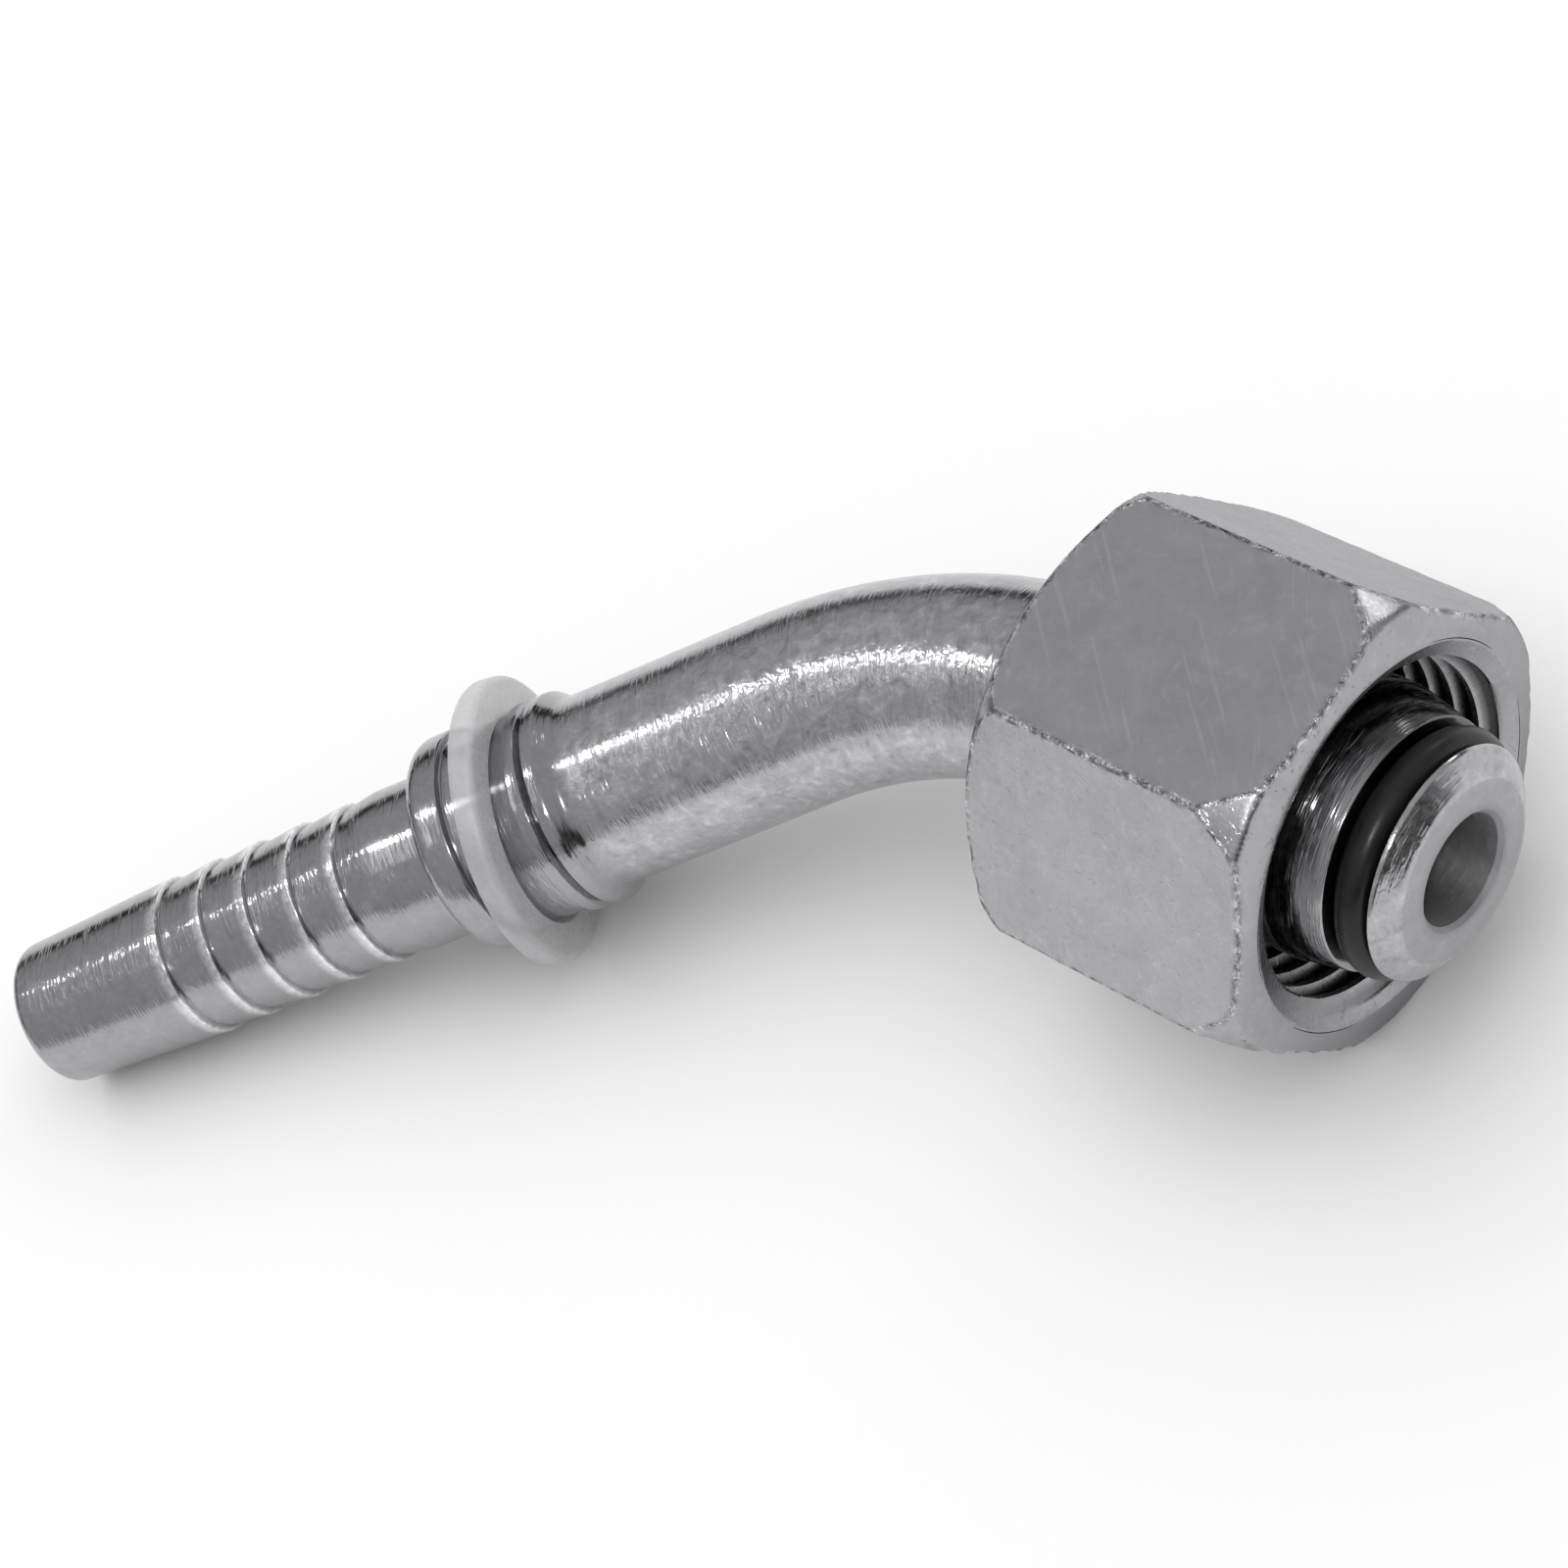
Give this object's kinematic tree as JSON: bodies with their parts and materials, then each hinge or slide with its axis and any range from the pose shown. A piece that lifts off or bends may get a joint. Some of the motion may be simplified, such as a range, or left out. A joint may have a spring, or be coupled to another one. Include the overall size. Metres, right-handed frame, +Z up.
{
  "type": "hydraulic hose elbow fitting",
  "caption": "Barbed hose tail, 45 degree swept tube and a 24 degree cone nose with O-ring inside a loose female hex swivel nut; a plastic locating ring sits on the collar.",
  "frame": {"origin": "centre of the flat end face of the cone nose, on the axis of the swivel nut", "axes": "+X out of the nose along the nut's axis, +Z up with the part lying on a flat of the nut and the end of the hose tail, which turns off towards -X -Y"},
  "size_m": [0.0804, 0.0604, 0.024],
  "materials": {
    "plated_steel_stem": "bright zinc plate with fine turning marks and mottling",
    "plated_steel_nut": "bright zinc plate with fine scratches and nicked edges",
    "black_rubber": "satin",
    "clear_plastic": "translucent, milky"
  },
  "bodies": {
    "stem": {"elbow_stem": "plated_steel_stem", "o_ring": "black_rubber", "locating_ring": "clear_plastic"},
    "nut": {"swivel_nut": "plated_steel_nut"}
  },
  "joints": [
    {"name": "nut_spin", "type": "hinge", "parent": "stem", "child": "nut", "pos_m": [-0.0137, 0, 0], "axis": [1, 0, 0], "continuous": true}
  ]
}
